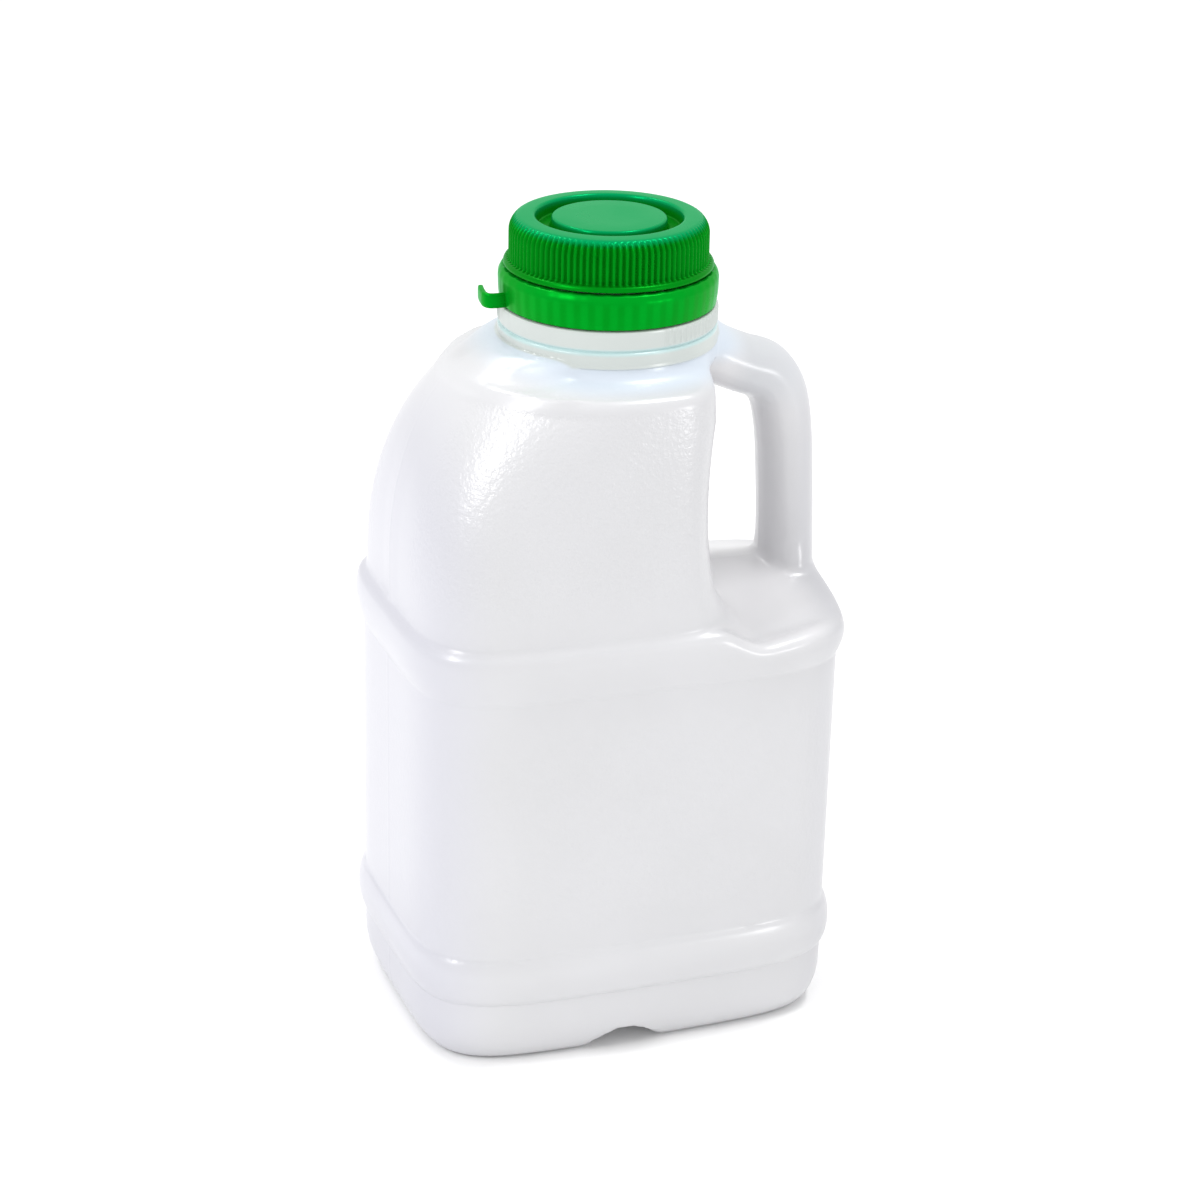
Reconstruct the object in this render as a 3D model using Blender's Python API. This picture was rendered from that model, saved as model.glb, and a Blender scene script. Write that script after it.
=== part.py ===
"""A small blow-moulded juice jug with a handle, its screw cap and its tear band.

The front of the jug is -Y and its handle is on +X. The origin is the middle of the base.
Driving dimensions are in millimetres, and add_ring() turns them into metres.
"""

import math

import bmesh
import bpy
import numpy as np

MM = 0.001

# Lower body
HALF_WIDTH = 45.1
HALF_DEPTH = 33.9
PLAN_POWER = 4.7
BASE_INSET = 5.2
BASE_HEIGHT = 9.6
BAND_SWELL = 1.5
FOOT_BAND = (14.0, 24.0)
LEDGE_BAND_BOTTOM = 79.9
LEDGE_BAND_OVER = 1.035
LEDGE_BAND_SKEW = 1.3
DRAFT = 0.012
LEDGE_HEIGHT = 91.0
GROOVE_X = -4.2
GROOVE_HALF_WIDTH = 8.5
GROOVE_HEIGHT = 4.8

# Saddle under the handle: a ridge that falls to the front and back, with a raised front edge
SADDLE_CREST = 92.4
SADDLE_FRONT_SLOPE = 0.25
SADDLE_BACK_SLOPE = 0.31
SADDLE_CREST_ROUND = 4.0
SADDLE_START = 13.0
SADDLE_END = 24.0
SADDLE_EDGE = 87.1
SADDLE_EDGE_RISE = 0.15
SADDLE_EDGE_TILT = 0.3
SADDLE_EDGE_X = 24.0
SADDLE_EDGE_Y = -32.5

# Upper body and shoulder
UPPER_STEP = 0.3
UPPER_START = 81.0
ARCH_REACH = 44.4
ARCH_TOP_REACH = 20.0
ARCH_SPRING = 101.2
ARCH_RISE = 43.4
TAPER_START = 96.0
TAPER_POWER = 2.2
ROUNDING = (96.0, 136.0)
GRIP_REACH = 14.8
GRIP_WAIST = 113.0
GRIP_SPAN = 19.0
GRIP_FLARE_ABOVE = 2.0
GRIP_FLARE_BELOW = 3.0
GRIP_POWER = 4.0
GRIP_FOOT = 86.3
GRIP_FOOT_FLOOR = 86.0
GRIP_FOOT_RADIUS = 12.0
SHOULDER_HEIGHT = 139.4
SHOULDER_RADIUS = 29.6
SHOULDER_POWER = 2.0
COVE_RISE = 3.2

# Neck, whose axis stands a little towards the handle
NECK_X = 0.7
COLLAR_RADIUS = 21.9
COLLAR_TOP = 146.4
STEP_RADIUS = 21.7
STEP_TOP = 150.6
NECK_RADIUS = 18.9
FINISH_START = 152.2
FINISH_RADIUS = 18.3
BORE_RADIUS = 16.8
BORE_WALL = 1.3
MOUTH_HEIGHT = 163.4

# Handle: its middle line in the XZ plane and its half width there, from the shoulder to the foot
HANDLE_LINE = (
    (11.0, 143.0, 6.0), (18.0, 141.2, 6.0), (23.0, 137.8, 6.0), (29.0, 135.0, 6.0), (34.3, 132.8, 6.1),
    (37.7, 128.2, 5.9), (39.3, 120.5, 5.7), (40.0, 111.0, 5.6), (40.5, 101.0, 5.6), (40.5, 93.0, 5.6),
    (39.6, 87.0, 5.6), (38.6, 81.0, 5.6),
)
HANDLE_HALF_DEPTH = 7.6

WALL = 1.1

# Where the jug's lofts have rings: heights, shares of the ledge band, and scales of the plan on the ledge
LOWER_HEIGHTS = (0.0, 0.7, 2.2, 4.8, BASE_HEIGHT, FOOT_BAND[0], 14.8, 16.4, 19.0, 21.6, 23.2, FOOT_BAND[1])
LOWER_HEIGHTS_INSIDE = (WALL, 2.8, 5.4, 9.0, FOOT_BAND[0], 19.0, FOOT_BAND[1])
BAND_SHARES = (0.0, 0.08, 0.22, 0.42, 0.62, 0.8, 0.92, 1.0)
BAND_SHARES_INSIDE = (0.0, 0.5, 0.9, 1.0)
TOP_SCALES = (0.96, 0.88, 0.76, 0.62, 0.5, 0.4, 0.3)
TOP_SCALES_INSIDE = (0.85, 0.55, 0.3)
UPPER_HEIGHTS = (
    UPPER_START, GRIP_FOOT, 87.6, 89.4, 92.0, TAPER_START, 105.0, 112.0, 118.0, 122.5, 126.5, 130.0, 133.0,
    136.0, SHOULDER_HEIGHT,
)
UPPER_HEIGHTS_INSIDE = (UPPER_START, TAPER_START, 109.0, 118.0, 125.0, 131.0, SHOULDER_HEIGHT)
POINTS_ROUND = 60
POINTS_ROUND_INSIDE = 40
POINTS_ROUND_HANDLE = 20
POINTS_ROUND_HANDLE_INSIDE = 12

# Cap
CAP_BOTTOM = 158.25
CAP_TOP = 168.1
FLANGE_RADIUS = 20.9
RIDGE_RADIUS = 20.5
VALLEY_RADIUS = 19.9
RIDGES = 96
RIM_OUTER_RADIUS = 18.6
RIM_INNER_RADIUS = 14.8
GROOVE_DEPTH = 2.7
DISC_RADIUS = 11.35
SKIRT_INNER_RADIUS = 18.9
CAP_CEILING = 163.8

# Tear band and its pull tab
TEAR_BOTTOM = 150.9
TEAR_TOP = 157.95
TEAR_RADIUS = 21.95
TEAR_WALL = 1.1
TAB_RADIUS = 25.3
TAB_THICKNESS = 1.2
TAB_HEIGHT = 3.0
TAB_ROOT_DEG = 181.0
TAB_TIP_DEG = 164.0

MILKY = (0.86, 0.88, 0.92, 1.0)
GREEN = (0.01, 0.36, 0.12, 1.0)


def clear_scene():
    """Remove what the file opens with."""
    for old in list(bpy.data.objects):
        bpy.data.objects.remove(old, do_unlink=True)


def plastic(name, color, roughness):
    """A plain plastic material."""
    material = bpy.data.materials.new(name)
    material.use_nodes = True
    shader = material.node_tree.nodes["Principled BSDF"]
    shader.inputs["Base Color"].default_value = color
    shader.inputs["Roughness"].default_value = roughness
    return material


def new_object(name, bm):
    """Put a bmesh in the scene as an object, with its normals outward."""
    bmesh.ops.recalc_face_normals(bm, faces=bm.faces)
    mesh = bpy.data.meshes.new(name)
    bm.to_mesh(mesh)
    bm.free()
    made = bpy.data.objects.new(name, mesh)
    bpy.context.collection.objects.link(made)
    return made


def add_ring(bm, points):
    """Add one closed ring of vertices, given in millimetres."""
    return [bm.verts.new((x * MM, y * MM, z * MM)) for x, y, z in points]


def join_rings(bm, lower, upper):
    """Join two rings. A ring with twice the points of its neighbour is stitched to it."""
    many, few = (lower, upper) if len(lower) >= len(upper) else (upper, lower)
    count = len(few)
    for i in range(count):
        j = (i + 1) % count
        if len(many) == count:
            bm.faces.new((many[i], many[j], few[j], few[i]))
        else:
            middle = many[2 * i + 1]
            bm.faces.new((many[2 * i], middle, few[i]))
            bm.faces.new((middle, many[2 * j], few[j], few[i]))


def solid(name, rings, closed=False):
    """Loft a solid through rings of points. An open loft gets a flat face at both ends."""
    bm = bmesh.new()
    made = [add_ring(bm, ring) for ring in rings]
    for lower, upper in zip(made, made[1:]):
        join_rings(bm, lower, upper)
    if closed:
        join_rings(bm, made[-1], made[0])
    else:
        bm.faces.new(made[0])
        bm.faces.new(made[-1])
    return new_object(name, bm)


def combine(target, tool, operation):
    """Apply a Boolean to the target and remove the tool."""
    modifier = target.modifiers.new("combine", "BOOLEAN")
    modifier.object = tool
    modifier.operation = operation
    modifier.solver = "EXACT"
    view = bpy.context.evaluated_depsgraph_get()
    result = bpy.data.meshes.new_from_object(target.evaluated_get(view))
    target.modifiers.clear()
    target.data = result
    bpy.data.objects.remove(tool, do_unlink=True)


def signed_power(value, power):
    """Raise the size of a value to a power and keep its sign."""
    return math.copysign(abs(value) ** power, value)


def plan_ring(z, left, right, depth, left_power, right_power, count, middle=0.0):
    """A level ring whose left and right halves are superellipses of one depth."""
    ring = []
    for i in range(count):
        angle = 2.0 * math.pi * i / count
        across, along = math.cos(angle), math.sin(angle)
        reach, power = (right, right_power) if across > 0.0 else (left, left_power)
        x = reach * signed_power(across, 2.0 / power)
        y = depth * signed_power(along, 2.0 / power)
        ring.append((x + middle, y, z))
    return ring


def circle_ring(z, radius, count):
    """A level circle around the neck's axis."""
    return plan_ring(z, radius, radius, radius, 2.0, 2.0, count, NECK_X)


def bump(z, span, skew=1.0):
    """A smooth swell over a span of heights, from 0 at its ends to 1 at its peak."""
    share = (z - span[0]) / (span[1] - span[0])
    if share <= 0.0 or share >= 1.0:
        return 0.0
    return math.sin(math.pi * share ** skew) ** 0.6


def base_inset(z):
    """How far the rounded edge of the base draws the wall in at a height."""
    if z >= BASE_HEIGHT:
        return 0.0
    fall = 1.0 - z / BASE_HEIGHT
    return BASE_INSET * (1.0 - math.sqrt(max(0.0, 1.0 - fall * fall)))


def draft(x, z):
    """How far the right end leans in towards the base."""
    return DRAFT * max(0.0, LEDGE_BAND_BOTTOM - z) * max(0.0, x / HALF_WIDTH)


def saddle_height(x, y):
    """The top of the lower block: a flat ledge, and on the right the saddle with its raised front edge."""
    slope = SADDLE_FRONT_SLOPE if y < 0.0 else SADDLE_BACK_SLOPE
    fall = math.hypot(y, SADDLE_CREST_ROUND) - SADDLE_CREST_ROUND
    edge = SADDLE_EDGE + SADDLE_EDGE_RISE * (x - SADDLE_EDGE_X) - SADDLE_EDGE_TILT * (y - SADDLE_EDGE_Y)
    saddle = max(SADDLE_CREST - slope * fall, edge)
    share = min(1.0, max(0.0, (x - SADDLE_START) / (SADDLE_END - SADDLE_START)))
    blend = share * share * (3.0 - 2.0 * share)
    return LEDGE_HEIGHT + (saddle - LEDGE_HEIGHT) * blend


def swollen(x, y, swell):
    """A point of the plan pushed out by a swell along the plan's own proportions."""
    return x * (1.0 + swell / HALF_WIDTH), y * (1.0 + swell / HALF_DEPTH)


def lower_body(name, inset, count, heights, band_shares, top_scales):
    """The block below the ledge: rounded base, foot band, ledge band and a top that dips at the right."""
    plan = plan_ring(0.0, HALF_WIDTH, HALF_WIDTH, HALF_DEPTH, PLAN_POWER, PLAN_POWER, count)
    rings = []
    for z in heights:
        ring = []
        for x, y, _ in plan:
            swell = BAND_SWELL * bump(z, FOOT_BAND) - draft(x, z) - base_inset(z - inset) - inset
            ring.append((*swollen(x, y, swell), z))
        rings.append(ring)
    for share in band_shares:
        ring = []
        for x, y, _ in plan:
            top = saddle_height(x, y) - inset
            z = LEDGE_BAND_BOTTOM + share * (top - LEDGE_BAND_BOTTOM)
            swell = BAND_SWELL * bump(share, (0.0, LEDGE_BAND_OVER), LEDGE_BAND_SKEW) - inset
            ring.append((*swollen(x, y, swell), z))
        rings.append(ring)
    for scale in top_scales:
        inner = [(x * scale, y * scale) for x, y, _ in plan]
        rings.append([(x, y, saddle_height(x, y) - inset) for x, y in inner])
    return solid(name, rings)


def groove_cutter(grow, floor):
    """The groove that runs from front to back under the base: a parabola that ends just below it."""
    half = GROOVE_HALF_WIDTH + grow
    shares = np.linspace(-1.02, 1.02, 13)
    outline = [(half * share, floor + GROOVE_HEIGHT * (1.0 - share * share)) for share in shares]
    outline += [(half, floor - 2.0), (-half, floor - 2.0)]
    rings = [[(GROOVE_X + x, y, z) for x, z in outline] for y in (-50.0, 50.0)]
    return solid("groove_cutter", rings)


def arch_reach(z):
    """How far the left side reaches at a height: upright, then an elliptic arch to the neck."""
    rise = max(0.0, z - ARCH_SPRING) / ARCH_RISE
    span = ARCH_REACH - ARCH_TOP_REACH
    return ARCH_TOP_REACH + span * math.sqrt(max(0.0, 1.0 - rise * rise))


def grip_reach(z):
    """How far the right side reaches, narrowest at the waist where fingers go."""
    flare = GRIP_FLARE_BELOW if z < GRIP_WAIST else GRIP_FLARE_ABOVE
    return GRIP_REACH + flare * min(1.0, abs(z - GRIP_WAIST) / GRIP_SPAN) ** 2


def grip_foot(z):
    """How far the right side's foot runs out further, along a fillet down to the saddle."""
    rise = min(GRIP_FOOT_RADIUS, max(z, GRIP_FOOT) - GRIP_FOOT_FLOOR)
    return GRIP_FOOT_RADIUS - math.sqrt(GRIP_FOOT_RADIUS ** 2 - (GRIP_FOOT_RADIUS - rise) ** 2)


def taper_share(z):
    """How far a height is on the way from the upright wall to the shoulder's edge, from 0 to 1."""
    return min(1.0, max(0.0, z - TAPER_START) / (SHOULDER_HEIGHT - TAPER_START))


def upper_depth(z):
    """Half the depth of the upper body: flat below, drawn in towards the shoulder."""
    upright = HALF_DEPTH - UPPER_STEP
    return upright - (upright - SHOULDER_RADIUS) * taper_share(z) ** TAPER_POWER


def upper_power(z):
    """The plan's power, from the lower body's to the round one of the shoulder."""
    share = min(1.0, max(0.0, (z - ROUNDING[0]) / (ROUNDING[1] - ROUNDING[0])))
    return PLAN_POWER - (PLAN_POWER - SHOULDER_POWER) * share


def wall_rings(inset, count, heights):
    """Rings of the upper body up to the shoulder's edge. Inset rings sink there and have no flared foot."""
    rings = []
    for z in heights:
        foot = 0.0 if inset else grip_foot(z)
        left, right, depth = arch_reach(z) - inset, grip_reach(z) - inset + foot, upper_depth(z) - inset
        sunk = z - inset * taper_share(z)
        rings.append(plan_ring(sunk, left, right, depth, upper_power(z), GRIP_POWER, count))
    return rings


def cove_rings(inset, count, steps):
    """Rings of the hollow curve from the shoulder's edge up to the collar."""
    rings = []
    for step in range(1, steps + 1):
        angle = 0.5 * math.pi * step / steps
        z = SHOULDER_HEIGHT + COVE_RISE * (1.0 - math.cos(angle))
        radius = SHOULDER_RADIUS - (SHOULDER_RADIUS - COLLAR_RADIUS) * math.sin(angle) - inset
        left = max(radius, arch_reach(z) - inset)
        right = max(COLLAR_RADIUS - inset, grip_reach(z) - inset)
        rings.append(plan_ring(z - inset, left, right, radius, 2.0, 2.0, count, NECK_X))
    return rings


def upper_body_outside():
    """The upper body, shoulder, collar, the wide step under the tear band, and the neck as one solid."""
    rings = wall_rings(0.0, POINTS_ROUND, UPPER_HEIGHTS) + cove_rings(0.0, POINTS_ROUND, 5)
    turned = (
        (COLLAR_TOP - 0.2, COLLAR_RADIUS), (COLLAR_TOP, STEP_RADIUS - 0.2), (COLLAR_TOP + 0.3, STEP_RADIUS),
        (STEP_TOP - 0.4, STEP_RADIUS), (STEP_TOP, STEP_RADIUS - 0.4), (STEP_TOP + 0.1, NECK_RADIUS),
        (FINISH_START, NECK_RADIUS), (FINISH_START + 0.6, FINISH_RADIUS),
        (MOUTH_HEIGHT - 0.4, FINISH_RADIUS), (MOUTH_HEIGHT, FINISH_RADIUS - 0.5),
    )
    rings += [circle_ring(z, radius, POINTS_ROUND) for z, radius in turned]
    return solid("upper_outside", rings)


def upper_body_inside():
    """The hollow of the upper body and the bore of the neck."""
    count = POINTS_ROUND_INSIDE
    rings = wall_rings(WALL, count, UPPER_HEIGHTS_INSIDE) + cove_rings(WALL, count, 3)
    turned = (
        (COLLAR_TOP - 3.0, STEP_RADIUS - BORE_WALL), (STEP_TOP - 2.4, STEP_RADIUS - BORE_WALL),
        (STEP_TOP - BORE_WALL, BORE_RADIUS), (MOUTH_HEIGHT + 6.0, BORE_RADIUS),
    )
    rings += [circle_ring(z, radius, count) for z, radius in turned]
    return solid("upper_inside", rings)


def handle_tube(name, inset, count):
    """An oval tube swept along the handle's middle line."""
    line = np.array(HANDLE_LINE)
    along = np.gradient(line[:, :2], axis=0)
    along /= np.linalg.norm(along, axis=1)[:, None]
    rings = []
    for (x, z, half_width), (dx, dz) in zip(line, along):
        ring = []
        for i in range(count):
            angle = 2.0 * math.pi * i / count
            across = (half_width - inset) * math.cos(angle)
            y = (HANDLE_HALF_DEPTH - inset) * math.sin(angle)
            ring.append((x - dz * across, y, z + dx * across))
        rings.append(ring)
    return solid(name, rings)


def bottle_outside():
    """The whole outer form of the jug as one solid."""
    outside = lower_body("bottle", 0.0, POINTS_ROUND, LOWER_HEIGHTS, BAND_SHARES, TOP_SCALES)
    combine(outside, groove_cutter(0.0, 0.0), "DIFFERENCE")
    combine(outside, upper_body_outside(), "UNION")
    combine(outside, handle_tube("handle", 0.0, POINTS_ROUND_HANDLE), "UNION")
    return outside


def bottle_inside():
    """The hollow of the jug as one solid."""
    count = POINTS_ROUND_INSIDE
    inside = lower_body("inside", WALL, count, LOWER_HEIGHTS_INSIDE, BAND_SHARES_INSIDE, TOP_SCALES_INSIDE)
    combine(inside, groove_cutter(WALL, WALL), "DIFFERENCE")
    combine(inside, upper_body_inside(), "UNION")
    combine(inside, handle_tube("handle_inside", WALL, POINTS_ROUND_HANDLE_INSIDE), "UNION")
    return inside


def build_bottle(material):
    """The hollow jug with its open mouth and hollow handle."""
    bottle = bottle_outside()
    combine(bottle, bottle_inside(), "DIFFERENCE")
    bottle.data.materials.clear()
    bottle.data.materials.append(material)
    return bottle


def ridge_ring(z, ridge, valley):
    """A level ring that zigzags between ridges and valleys."""
    ring = []
    for i in range(2 * RIDGES):
        angle = math.pi * i / RIDGES
        radius = valley if i % 2 else ridge
        ring.append((NECK_X + radius * math.cos(angle), radius * math.sin(angle), z))
    return ring


def build_cap(material):
    """The screw cap: a ridged skirt, a flat rim, a ring groove and a raised disc."""
    drop = RIDGE_RADIUS - VALLEY_RADIUS
    half = RIDGES // 2
    rings = [
        circle_ring(CAP_CEILING, SKIRT_INNER_RADIUS - 0.4, half),
        circle_ring(CAP_BOTTOM, SKIRT_INNER_RADIUS, half),
        circle_ring(CAP_BOTTOM, FLANGE_RADIUS, RIDGES),
        circle_ring(CAP_BOTTOM + 0.6, FLANGE_RADIUS, RIDGES),
        ridge_ring(CAP_BOTTOM + 0.9, RIDGE_RADIUS, VALLEY_RADIUS),
        ridge_ring(CAP_TOP - 3.6, RIDGE_RADIUS, VALLEY_RADIUS),
        ridge_ring(CAP_TOP - 1.7, RIDGE_RADIUS - 0.5, VALLEY_RADIUS - 0.4),
        circle_ring(CAP_TOP - 0.5, RIM_OUTER_RADIUS + drop, RIDGES),
        circle_ring(CAP_TOP, RIM_OUTER_RADIUS, half),
        circle_ring(CAP_TOP, RIM_INNER_RADIUS + 0.4, half),
        circle_ring(CAP_TOP - 0.5, RIM_INNER_RADIUS, half),
        circle_ring(CAP_TOP - GROOVE_DEPTH, RIM_INNER_RADIUS - 0.6, half),
        circle_ring(CAP_TOP - GROOVE_DEPTH, DISC_RADIUS + 0.5, half),
        circle_ring(CAP_TOP - 0.6, DISC_RADIUS, half),
        circle_ring(CAP_TOP - 0.3, DISC_RADIUS - 0.3, half),
    ]
    cap = solid("cap", rings)
    cap.data.materials.append(material)
    return cap


def tab_solid():
    """The pull tab: a short strip that leaves the tear band and curls along it."""
    root = TEAR_RADIUS - 0.6
    bend = TAB_RADIUS - 1.6
    half = 0.5 * TAB_THICKNESS
    turn = math.degrees(1.6 / TAB_RADIUS)
    path = [(root, TAB_ROOT_DEG), (bend, TAB_ROOT_DEG), (bend + 1.1, TAB_ROOT_DEG - 0.3 * turn)]
    steps = np.linspace(TAB_ROOT_DEG - turn, TAB_TIP_DEG, 7)
    path += [(TAB_RADIUS, degrees) for degrees in steps]
    turns = np.array(path)
    angles = np.radians(turns[:, 1])
    points = turns[:, :1] * np.column_stack((np.cos(angles), np.sin(angles))) + (NECK_X, 0.0)
    along = np.gradient(points, axis=0)
    along /= np.linalg.norm(along, axis=1)[:, None]
    rings = []
    for number, ((x, y), (dx, dy)) in enumerate(zip(points, along)):
        trim = 0.6 if number == len(points) - 1 else 0.0
        low, high = TEAR_BOTTOM + 0.1 + trim, TEAR_BOTTOM + 0.1 + TAB_HEIGHT - trim
        side = half if number < len(points) - 1 else 0.6 * half
        left = (x - dy * side, y + dx * side)
        right = (x + dy * side, y - dx * side)
        rings.append([(*left, low), (*right, low), (*right, high), (*left, high)])
    return solid("tab", rings)


def build_tear_band(material):
    """The tear band under the cap, with its pull tab joined on."""
    outline = (
        (TEAR_BOTTOM, TEAR_RADIUS - TEAR_WALL), (TEAR_BOTTOM, TEAR_RADIUS - 0.6),
        (TEAR_BOTTOM + 0.3, TEAR_RADIUS - 0.35), (TEAR_BOTTOM + 2.5, TEAR_RADIUS - 0.1),
        (TEAR_TOP - 1.6, TEAR_RADIUS), (TEAR_TOP - 0.7, TEAR_RADIUS - 0.3),
        (TEAR_TOP - 0.1, TEAR_RADIUS - 1.0), (TEAR_TOP, TEAR_RADIUS - 1.6),
        (TEAR_TOP - 1.4, TEAR_RADIUS - TEAR_WALL - 0.5),
    )
    band = solid("tear_band", [circle_ring(z, radius, 60) for z, radius in outline], closed=True)
    combine(band, tab_solid(), "UNION")
    band.data.materials.clear()
    band.data.materials.append(material)
    return band


def main():
    """Build every piece."""
    clear_scene()
    milky = plastic("milky_plastic", MILKY, 0.35)
    green = plastic("green_plastic", GREEN, 0.3)
    for piece in (build_bottle(milky), build_cap(green), build_tear_band(green)):
        piece.data.shade_smooth()
        piece.data.set_sharp_from_angle(angle=math.radians(35.0))


main()
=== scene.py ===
"""The looks of a small milky juice jug with a moulded handle, a green screw cap and its tear band.

Every length is in millimetres unless a docstring says otherwise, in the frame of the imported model:
the jug's front is -Y, its handle is on +X, and the origin is the middle of its base.
"""

import logging  # noqa: E402
import math  # noqa: E402
from dataclasses import dataclass, field  # noqa: E402
from enum import Enum  # noqa: E402
from functools import reduce  # noqa: E402

import bmesh  # noqa: E402
import bpy  # noqa: E402
import numpy as np  # noqa: E402
from mathutils import Matrix  # noqa: E402


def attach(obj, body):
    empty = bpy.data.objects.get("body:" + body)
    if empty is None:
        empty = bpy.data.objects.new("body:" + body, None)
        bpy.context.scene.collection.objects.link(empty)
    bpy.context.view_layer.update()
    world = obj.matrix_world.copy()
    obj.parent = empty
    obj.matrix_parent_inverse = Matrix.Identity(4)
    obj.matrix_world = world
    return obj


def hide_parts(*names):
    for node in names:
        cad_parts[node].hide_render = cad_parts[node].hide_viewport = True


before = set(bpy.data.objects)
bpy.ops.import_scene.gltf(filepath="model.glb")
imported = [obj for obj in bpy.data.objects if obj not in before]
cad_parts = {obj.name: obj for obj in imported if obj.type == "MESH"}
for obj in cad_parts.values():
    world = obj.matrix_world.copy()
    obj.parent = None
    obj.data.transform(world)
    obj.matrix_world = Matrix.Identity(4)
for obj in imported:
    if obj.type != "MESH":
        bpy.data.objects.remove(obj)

log = logging.getLogger("jug")

METRES = 0.001
TINY = 1e-9
NECK_X = 0.7

Pair = tuple[float, float]
Triple = tuple[float, float, float]
Colour = tuple[float, float, float, float]


class Slot(Enum):
    """The record's material slots."""

    MILKY = "milky_plastic"
    GREEN = "green_plastic"


# ---------------------------------------------------------------- shape helpers


def smooth_step(value: np.ndarray, start: float, end: float) -> np.ndarray:
    """Rise from 0 to 1 between two values.

    Formula: t*t*(3 - 2*t), with t the clipped share of the way from start to end.

    Args:
        value: Where to read the step.
        start: The value at which the step leaves 0.
        end: The value at which it reaches 1.

    Returns:
        The step at every value.
    """
    share = np.clip((value - start) / (end - start), 0.0, 1.0)
    return share * share * (3.0 - 2.0 * share)


def melt(first: np.ndarray, second: np.ndarray, reach: float) -> np.ndarray:
    """Join two solids with a fillet.

    Formula: min(a, b) - k*h*(1 - h), with h = clip(0.5 + (b - a)/(2k), 0, 1).

    Args:
        first: Signed distance to one solid, negative inside.
        second: Signed distance to the other.
        reach: The fillet's size k.

    Returns:
        Signed distance to the joined solid.
    """
    share = np.clip(0.5 + 0.5 * (second - first) / reach, 0.0, 1.0)
    return second + (first - second) * share - reach * share * (1.0 - share)


def meet(first: np.ndarray, second: np.ndarray, reach: float) -> np.ndarray:
    """Keep what two solids share, with a rounded edge of the given reach: the mirror of melt()."""
    return -melt(-first, -second, reach)


def plan_distance(
    x: np.ndarray, y: np.ndarray, left: np.ndarray, right: np.ndarray, depth: np.ndarray,
    left_power: np.ndarray, right_power: float,
) -> np.ndarray:
    """Distance to an upright wall whose plan is two half superellipses.

    Formula: (r - 1)/|grad r|, with r = (|x/a|^n + |y/b|^n)^(1/n), where a and n are those of the
    side that x is on.

    Args:
        x: Distance to the right of the middle.
        y: Distance behind the middle.
        left: Half width a on the left.
        right: Half width a on the right.
        depth: Half depth b.
        left_power: Power n on the left.
        right_power: Power n on the right.

    Returns:
        Signed distance, negative inside.
    """
    on_right = x > 0.0
    width = np.where(on_right, right, left)
    power = np.where(on_right, right_power, left_power)
    across = np.maximum(np.abs(x) / width, TINY)
    along = np.maximum(np.abs(y) / depth, TINY)
    ratio = (across ** power + along ** power) ** (1.0 / power)
    gradient = (across / ratio) ** (power - 1.0) / width, (along / ratio) ** (power - 1.0) / depth
    return (ratio - 1.0) / np.hypot(*gradient)


def smooth_line(points: np.ndarray, steps: int) -> np.ndarray:
    """A Catmull-Rom curve through points.

    Formula: between p1 and p2, 0.5*(2*p1 + (p2 - p0)*t + (2*p0 - 5*p1 + 4*p2 - p3)*t^2
    + (3*p1 - 3*p2 + p3 - p0)*t^3).

    Args:
        points: The points, one a row.
        steps: How many samples each span gets.

    Returns:
        The samples, one a row, ending on the last point.
    """
    padded = np.vstack((2.0 * points[0] - points[1], points, 2.0 * points[-1] - points[-2]))
    before, start, end, after = padded[:-3], padded[1:-2], padded[2:-1], padded[3:]
    t = (np.arange(steps) / steps)[None, :, None]
    p0, p1, p2, p3 = (p[:, None, :] for p in (before, start, end, after))
    curve = 0.5 * (
        2.0 * p1 + (p2 - p0) * t + (2.0 * p0 - 5.0 * p1 + 4.0 * p2 - p3) * t**2
        + (3.0 * p1 - 3.0 * p2 + p3 - p0) * t**3
    )
    return np.vstack((curve.reshape(-1, points.shape[1]), points[-1]))


def rounded_path(corners: list[Triple], samples: int) -> np.ndarray:
    """A path in (radius, height) through corners that are each rounded by a parabola.

    Formula: (1 - s)^2*(P + c*a) + 2*s*(1 - s)*P + s^2*(P + c*b) for a corner P with unit ways a
    and b to its neighbours and a cut c.

    Args:
        corners: Radius, height and cut of each corner. A cut of 0 keeps the corner sharp.
        samples: Points that a rounded corner gets.

    Returns:
        The path's points, one a row.
    """
    table = np.array(corners)
    made = [table[0, :2]]
    share = np.linspace(0.0, 1.0, samples)[:, None]
    for before, here, after in zip(table[:-2], table[1:-1], table[2:]):
        corner, cut = here[:2], here[2]
        if cut <= 0.0:
            made.append(corner)
            continue
        back = (before[:2] - corner) / np.linalg.norm(before[:2] - corner)
        ahead = (after[:2] - corner) / np.linalg.norm(after[:2] - corner)
        bend = (1.0 - share) ** 2 * (corner + cut * back) + 2.0 * share * (1.0 - share) * corner
        made.append(bend + share**2 * (corner + cut * ahead))
    made.append(table[-1, :2])
    return np.vstack(made)


def path_normals(path: np.ndarray) -> np.ndarray:
    """Unit normals to the left of a path in a plane.

    Args:
        path: Points, one a row.

    Returns:
        The normals, one a row.
    """
    along = np.gradient(path, axis=0)
    along /= np.maximum(np.linalg.norm(along, axis=1)[:, None], TINY)
    return np.column_stack((-along[:, 1], along[:, 0]))


def full_turn(count: int) -> np.ndarray:
    """Evenly spaced angles round a circle."""
    return 2.0 * np.pi * np.arange(count) / count


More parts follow.
